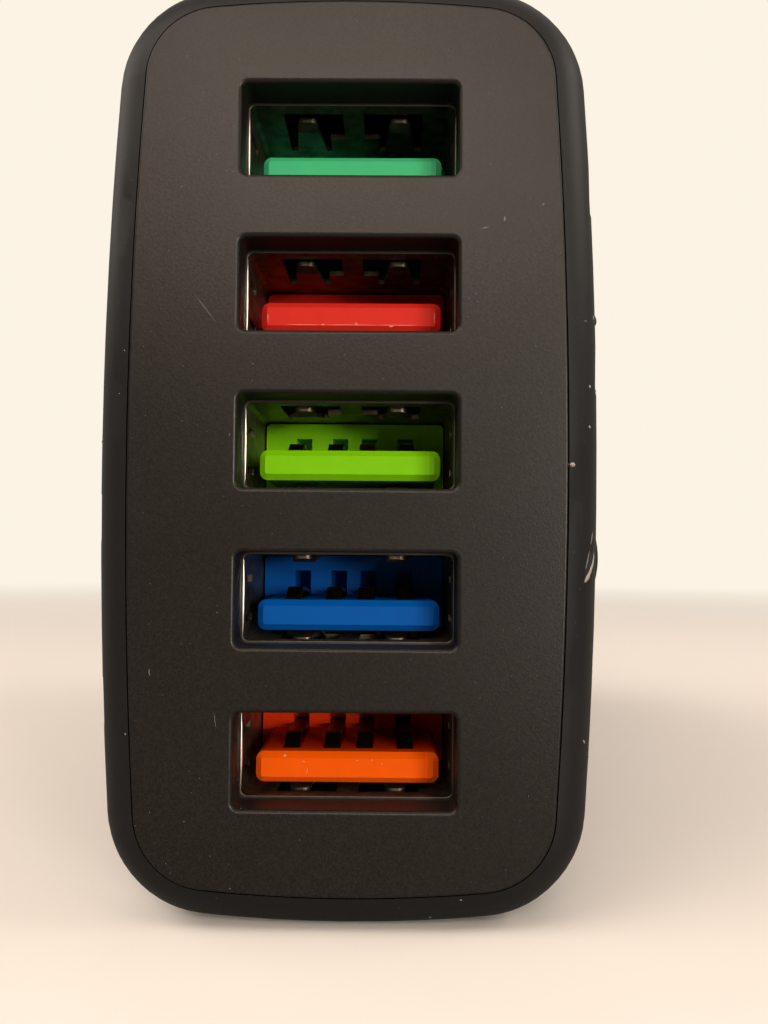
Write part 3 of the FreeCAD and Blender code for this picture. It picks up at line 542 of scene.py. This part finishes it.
stroke_tree, stroke_inputs = start_tree("tapered_stroke", Points="NodeSocketInt", Sides="NodeSocketInt",
                                        Material="NodeSocketMaterial")
curve = add_node(stroke_tree, "GeometryNodeMeshToCurve", {"Mesh": stroke_inputs["Mesh"]})
spaced = add_node(stroke_tree, "GeometryNodeResampleCurve", {"Curve": curve.outputs["Curve"],
                                                             "Count": stroke_inputs["Points"]})
along = add_node(stroke_tree, "GeometryNodeSplineParameter")
half_turn = add_node(stroke_tree, "ShaderNodeMath", {0: along.outputs["Factor"], 1: math.pi},
                     operation="MULTIPLY")
taper = add_node(stroke_tree, "ShaderNodeMath", {0: half_turn.outputs["Value"]}, operation="SINE")
full_width = add_node(stroke_tree, "GeometryNodeInputNamedAttribute", {"Name": "stroke_width"},
                      data_type="FLOAT")
local_width = add_node(stroke_tree, "ShaderNodeMath",
                       {0: taper.outputs["Value"], 1: full_width.outputs["Attribute"]}, operation="MULTIPLY")
section = add_node(stroke_tree, "GeometryNodeCurvePrimitiveCircle", {"Resolution": stroke_inputs["Sides"],
                                                                     "Radius": 0.5})
tube = add_node(stroke_tree, "GeometryNodeCurveToMesh", {"Curve": spaced.outputs["Curve"], "Fill Caps": True,
                                                         "Profile Curve": section.outputs["Curve"],
                                                         "Scale": local_width.outputs["Value"]})
end_tree(stroke_tree, tube.outputs["Mesh"], stroke_inputs["Material"])
print(stroke_tree.name, "with", len(stroke_tree.nodes), "nodes")


# %% [markdown]
# ## Scratches and nicks
# On the panel they are scuffs about a tenth of a millimetre wide, and on the rim small bruises where it
# was knocked. They could be scattered at random, but then none would be where the real one is, so each
# has its own points. A stroke is sunk by a share of its width, so that only its crest shows.

# %% Strokes as pieces
def stroke_mesh(name, surface, strokes, sink):
    """Loose edges along the strokes, with their widths on the points. Sink is a share of the width."""
    points, edges, widths = [], [], []
    for width, *path in strokes:
        first = len(points)
        points += [on_surface(surface, x, z, -sink * width) for x, z in path]
        edges += [(first + i, first + i + 1) for i in range(len(path) - 1)]
        widths += [width * mm] * len(path)
    mesh = bpy.data.meshes.new(name)
    mesh.from_pydata(points, edges, [])
    mesh.attributes.new("stroke_width", "FLOAT", "POINT").data.foreach_set("value", widths)
    return mesh


def grown(name, mesh, tree, **values):
    """Runs a tree on a mesh and keeps the outcome as a plain object that belongs to the part."""
    piece = bpy.data.objects.new(name, mesh)
    bpy.context.scene.collection.objects.link(piece)
    modifier = piece.modifiers.new(tree.name, "NODES")
    modifier.node_group = tree
    for socket in tree.interface.items_tree:
        key = socket.name.replace(" ", "_")
        if socket.in_out == "INPUT" and key in values:
            modifier[socket.identifier] = values[key]
    evaluated = piece.evaluated_get(bpy.context.evaluated_depsgraph_get())
    plain = bpy.data.meshes.new_from_object(evaluated)
    piece.modifiers.remove(modifier)
    piece.data = plain
    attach(piece, "root")
    print(name, len(plain.polygons), "faces")
    return piece


# Polycarbonate where a hard edge has scuffed it: paler than the skin, and dull.
scuffed = mottled("scuffed_polycarbonate", "#5E5953", "#78726B", 0.2, 0.6, 0.005)
# The same plastic where it is torn or stretched: nearly white.
torn = mottled("torn_polycarbonate", "#807A72", "#A39D94", 0.2, 0.55, 0.005)
print("marks in", scuffed.name, "and", torn.name)

# %% Scratches and nicks
# Width, then the points (x, z) of each stroke.
panel_strokes = [
    (0.14, (9.00, 13.27), (9.02, 12.97), (8.91, 12.68)),
    (0.12, (7.80, 12.33), (7.87, 12.44), (7.90, 12.56)),
    (0.05, (7.35, 12.32), (7.87, 12.44), (8.39, 12.56)),
    (0.09, (11.12, 13.71), (11.39, 13.98)),
    (0.06, (6.90, 8.28), (7.05, 8.34)),
    (0.06, (7.30, 8.56), (7.42, 8.60)),
    (0.035, (-9.66, 9.13), (-8.83, 8.32), (-8.00, 7.27), (-7.23, 6.23), (-6.95, 6.02)),
    (0.07, (-11.13, -12.88), (-11.18, -13.34), (-11.00, -13.73)),
    (0.035, (-7.50, -15.11), (-7.37, -16.02), (-7.24, -16.92)),
    (0.06, (-6.81, 0.48), (-6.74, 0.14)),
    (0.12, (-9.10, -21.70), (-8.98, -21.70)),
    (0.11, (-6.44, -25.40), (-6.33, -25.40)),
    (0.10, (-7.39, -9.90), (-7.29, -9.88)),
    (0.09, (-9.42, -11.68), (-9.33, -11.70)),
    (0.08, (-9.39, -23.49), (-9.31, -23.50)),
    (0.08, (-11.24, -8.30), (-11.16, -8.28)),
    (0.08, (-7.84, -8.50), (-7.76, -8.52)),
    (0.09, (-5.54, 4.40), (-5.46, 4.42)),
]
rim_strokes = [
    (0.24, (14.08, 3.28), (14.20, 3.50)),
    (0.24, (14.06, 0.90), (14.17, 1.12)),
    (0.44, (12.95, -1.50), (12.98, -1.06)),
    (0.11, (13.55, 7.15), (14.06, 7.27)),
    (0.16, (14.45, 7.80), (14.52, 7.45)),
    (0.20, (14.78, 3.55), (14.80, 3.25)),
    (0.14, (13.66, -17.04), (13.93, -17.45)),
    (0.18, (14.30, -18.30), (14.34, -18.50)),
    (0.20, (-14.78, 7.20), (-14.80, 6.85)),
    (0.18, (-14.80, 0.25), (-14.80, -0.05)),
    (0.15, (-12.54, -16.92), (-12.48, -16.80)),
    (0.10, (-13.02, 5.16), (-12.98, 5.24)),
    (0.10, (-13.32, 2.67), (-13.28, 2.75)),
    (0.13, (-4.84, -27.40), (-4.76, -27.40)),
    (0.10, (4.85, -27.30), (5.05, -27.36)),
    (0.09, (6.55, -25.95), (6.75, -26.02)),
]
scratch_sink = 0.35
nick_sink = 0.25
paths = stroke_mesh("panel_strokes", panel_surface, panel_strokes, scratch_sink)
panel_scratches = grown("panel_scratches", paths, stroke_tree, Points=9, Sides=8, Material=scuffed)
paths = stroke_mesh("rim_strokes", rim_surface, rim_strokes, nick_sink)
rim_nicks = grown("rim_nicks", paths, stroke_tree, Points=9, Sides=8, Material=torn)


# %% [markdown]
# ## Gouge
# Something hard was dragged down the right edge of the rim. It left a leaf-shaped slit, dark inside, and
# pushed its outer side out past the outline as a flap. The flap's torn lip is pale, and widest where the
# slit closes. The slit could be cut into the housing, but the CAD solid stays whole, so it is a strip on
# the rim with the slit's inner shade painted on it, as wide as the leaf at each height. The rest are
# strokes like the nicks.

# %% Slit of the gouge
gouge_top = Vector((14.49, -5.85))
gouge_bottom = Vector((13.64, -8.15))
gouge_rows = 16
slit_width = 0.30
slit_lift = 0.012
leaf_fullness = 0.7


def across_gouge(share, reach):
    """Point (x, z) at a share of the gouge's length, with a reach sideways that follows the leaf."""
    x, z = gouge_top.lerp(gouge_bottom, share)
    return x + reach * math.sin(math.pi * share) ** leaf_fullness, z


leaf = []
for row in range(gouge_rows + 1):
    for reach in (-slit_width / 2, 0, slit_width / 2):
        leaf.append(on_surface(rim_surface, *across_gouge(row / gouge_rows, reach), slit_lift))
faces = [(3 * row + i, 3 * row + i + 1, 3 * row + i + 4, 3 * row + i + 3)
         for row in range(gouge_rows) for i in range(2)]
slit_mesh = bpy.data.meshes.new("gouge_slit")
slit_mesh.from_pydata(leaf, [], faces)
# Painted shade: a dark strip that stands for the shadow inside the slit, between its lips.
slit_mesh.materials.append(mottled("cut_polycarbonate", "#070605", "#120E0B", 0.3, 0.5, 0.01))
gouge_slit = bpy.data.objects.new("gouge_slit", slit_mesh)
bpy.context.scene.collection.objects.link(gouge_slit)
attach(gouge_slit, "root")
print("gouge_slit", len(faces), "faces")

# %% Lips, scuffs and flaps
lip_reach = 0.28
lip_steps = 6
gouge_sink = 0.2
# Each lip stroke: width, then the shares of the gouge's length between which it runs.
lips = []
for width, first, last in ((0.20, 0.04, 0.98), (0.28, 0.34, 1.0), (0.36, 0.62, 1.0)):
    shares = [first + (last - first) * step / lip_steps for step in range(lip_steps + 1)]
    lips.append((width, *(across_gouge(share, lip_reach) for share in shares)))
paths = stroke_mesh("gouge_lips", rim_surface, lips, gouge_sink)
gouge_lips = grown("gouge_lips", paths, stroke_tree, Points=17, Sides=8, Material=torn)

scuffs = [(0.12, (14.24, -5.70), (13.97, -6.75), (13.66, -7.90)), (0.12, (14.40, -4.90), (14.18, -6.05))]
paths = stroke_mesh("gouge_scuffs", rim_surface, scuffs, gouge_sink)
gouge_scuffs = grown("gouge_scuffs", paths, stroke_tree, Points=9, Sides=8, Material=scuffed)

# The gouge's flap, and a smaller one higher up the rim.
flaps = [(0.44, (14.76, -5.10), (14.78, -6.20), (14.77, -7.20), (14.74, -8.40)),
         (0.36, (14.75, 8.10), (14.77, 7.65), (14.76, 7.20))]
paths = stroke_mesh("rim_flaps", rim_surface, flaps, gouge_sink)
rim_flaps = grown("rim_flaps", paths, stroke_tree, Points=17, Sides=12, Material=housing_plastic)


# %% [markdown]
# ## Burrs on the shells
# A press leaves a fine burr where it shears sheet metal, and plugs rub it bright. On the left edge of
# each shell it catches the light from the right as a thin line. Its bare metal is lighter than the
# shell's, partly as a painted highlight for that glint. A brighter edge in the shell's own material would
# run all round it, so each shell gets one upright stroke of bare metal along that edge.

# %% Burrs on the shells
# Nickel-plated steel where the shear has bared it and plugs have polished it, made lighter still as a
# painted highlight.
burr_metal_and_highlight = worked_metal("sheared_sheet_edge", "#DCD4C6", "#F6F0E4", 0.30, 0.2, (1.0, 1.0, 0.2))
burr_x = -6.26
burr_reach = 2.35
burr_width = 0.22
burr_sink = 0.1
for i in range(1, len(tongues) + 1):
    shell_low, shell_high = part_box(f"port_{i}_shell")
    height = ((shell_low.z + shell_high.z) / 2 - middle_socket.z) / mm
    burr = (burr_width, *((burr_x, height + rise) for rise in (-burr_reach, 0, burr_reach)))
    paths = stroke_mesh(f"port_{i}_burr", surface_of(f"port_{i}_shell"), [burr], burr_sink)
    piece = grown(f"port_{i}_burr", paths, stroke_tree, Points=17, Sides=12, Material=burr_metal_and_highlight)


# %% [markdown]
# ## Specks and a painted highlight on the tongues
# A pale line along the edges of the red tongue's front is a painted highlight of its bevel edges. Plugs
# have left specks on it, and more specks and a hair-thin scratch on the orange one. A paler patch in the
# material would need a place for each speck too, so they are strokes like the others, dropped onto the
# tongues' front faces.

# %% Specks on the tongues
# Thermoplastic where a plug has bruised it: paler than the tongue around it. Along the red tongue's edges
# the same pale tone is a painted highlight.
bruised_and_edge_highlight = mottled("bruised_thermoplastic", "#E0705A", "#F0907A", 0.1, 0.5, 0.002)
speck_sink = 0.2
tongue_strokes = {
    "port_2_insulator": ("tongue_red", [
        # The first five strokes are a painted highlight along the red tongue's bevel edges; the last three
        # are specks.
        (0.07, (-5.12, 8.70), (-5.12, 8.10), (-5.08, 7.54)),
        (0.05, (-5.16, 7.54), (-3.00, 7.54), (-0.90, 7.54)),
        (0.05, (-2.60, 7.54), (0.00, 7.54), (2.60, 7.54)),
        (0.05, (0.90, 7.54), (3.00, 7.54), (5.16, 7.54)),
        (0.07, (5.12, 8.60), (5.12, 8.10), (5.10, 7.54)),
        (0.22, (0.20, 7.60), (0.42, 7.58)),
        (0.16, (2.22, 7.54), (2.44, 7.44), (2.70, 7.52)),
        (0.12, (-1.90, 7.55), (-1.56, 7.54)),
    ]),
    "port_5_insulator": ("tongue_orange", [
        (0.28, (-3.95, -18.72), (-3.61, -18.66)),
        (0.15, (-2.74, -19.06), (-2.52, -19.05)),
        (0.13, (1.41, -18.92), (1.57, -18.92)),
        (0.09, (0.50, -18.98), (0.70, -18.97)),
        (0.09, (2.04, -19.14), (2.18, -19.14)),
        (0.05, (-2.44, -19.30), (-2.38, -19.54), (-2.44, -19.75), (-2.52, -19.90)),
    ]),
}
for name, (slot, marks) in tongue_strokes.items():
    paths = stroke_mesh(f"{name}_strokes", surface_of(name), marks, speck_sink)
    piece = grown(f"{name}_specks", paths, stroke_tree, Points=7, Sides=6, Material=bruised_and_edge_highlight)


# %% [markdown]
# ## Dust
# Fine dust lies on everything that faces the viewer. It repeats without order, so a tree scatters small
# grains over the panel's front and the round rim, each with its own size and turn, from a fixed seed. A
# speckled texture would be quicker, but it would not stand up from the surface.

# %% Scattered grains
dust_tree, dust_inputs = start_tree("scattered_grains", Density="NodeSocketFloat",
                                    Smallest="NodeSocketFloat", Largest="NodeSocketFloat",
                                    Seed="NodeSocketInt", Material="NodeSocketMaterial")
spots = add_node(dust_tree, "GeometryNodeDistributePointsOnFaces", {"Mesh": dust_inputs["Mesh"],
                                                                    "Density": dust_inputs["Density"],
                                                                    "Seed": dust_inputs["Seed"]})
length = add_node(dust_tree, "FunctionNodeRandomValue", {2: dust_inputs["Smallest"],
                                                         3: dust_inputs["Largest"],
                                                         "Seed": dust_inputs["Seed"]}, data_type="FLOAT")
turn = add_node(dust_tree, "FunctionNodeRandomValue",
                {0: (0, 0, 0), 1: (math.tau, math.tau, math.tau), "Seed": dust_inputs["Seed"]},
                data_type="FLOAT_VECTOR")
ball = add_node(dust_tree, "GeometryNodeMeshIcoSphere", {"Radius": 0.5, "Subdivisions": 1})
long_grain = add_node(dust_tree, "GeometryNodeTransform", {"Geometry": ball.outputs["Mesh"],
                                                           "Scale": (1.0, 0.6, 0.5)})
scatter = add_node(dust_tree, "GeometryNodeInstanceOnPoints", {"Points": spots.outputs["Points"],
                                                               "Instance": long_grain.outputs["Geometry"],
                                                               "Rotation": turn.outputs[0],
                                                               "Scale": length.outputs[1]})
end_tree(dust_tree, scatter.outputs["Instances"], dust_inputs["Material"])
print(dust_tree.name, "with", len(dust_tree.nodes), "nodes")

# %% Dust
grains_per_square_metre = 2.2e5
smallest_grain = 0.025
largest_grain = 0.06
dust_seed = 7


def facing_front(name, depth, least):
    """Copy of a CAD node's faces that look to the front, down to a depth in mm behind the panel's front."""
    shape = bmesh.new()
    shape.from_mesh(nodes[name].data)
    shape.transform(nodes[name].matrix_world)
    bmesh.ops.remove_doubles(shape, verts=shape.verts, dist=0.001 * mm)
    limit = middle_socket.y + depth * mm
    hidden = [face for face in shape.faces
              if -face.normal.y < least or face.calc_center_median().y > limit]
    bmesh.ops.delete(shape, geom=hidden, context="FACES")
    mesh = bpy.data.meshes.new(f"{name}_front")
    shape.to_mesh(mesh)
    shape.free()
    return mesh


# Lint and skin dust: pale grey and matt.
dust = mottled("house_dust", "#6F6B66", "#8C8781", 0.05, 0.9, 0.002)
# Node, depth of its dusty faces, the least that they face the front (1 is straight on), and slot.
dusty = (("front_panel", 0.05, 0.95, "panel_plastic"), ("housing", 1.5, 0.3, "housing_plastic"))
for name, depth, least, slot in dusty:
    grains = grown(f"{name}_dust", facing_front(name, depth, least), dust_tree,
                   Density=grains_per_square_metre, Smallest=smallest_grain * mm,
                   Largest=largest_grain * mm, Seed=dust_seed, Material=dust)
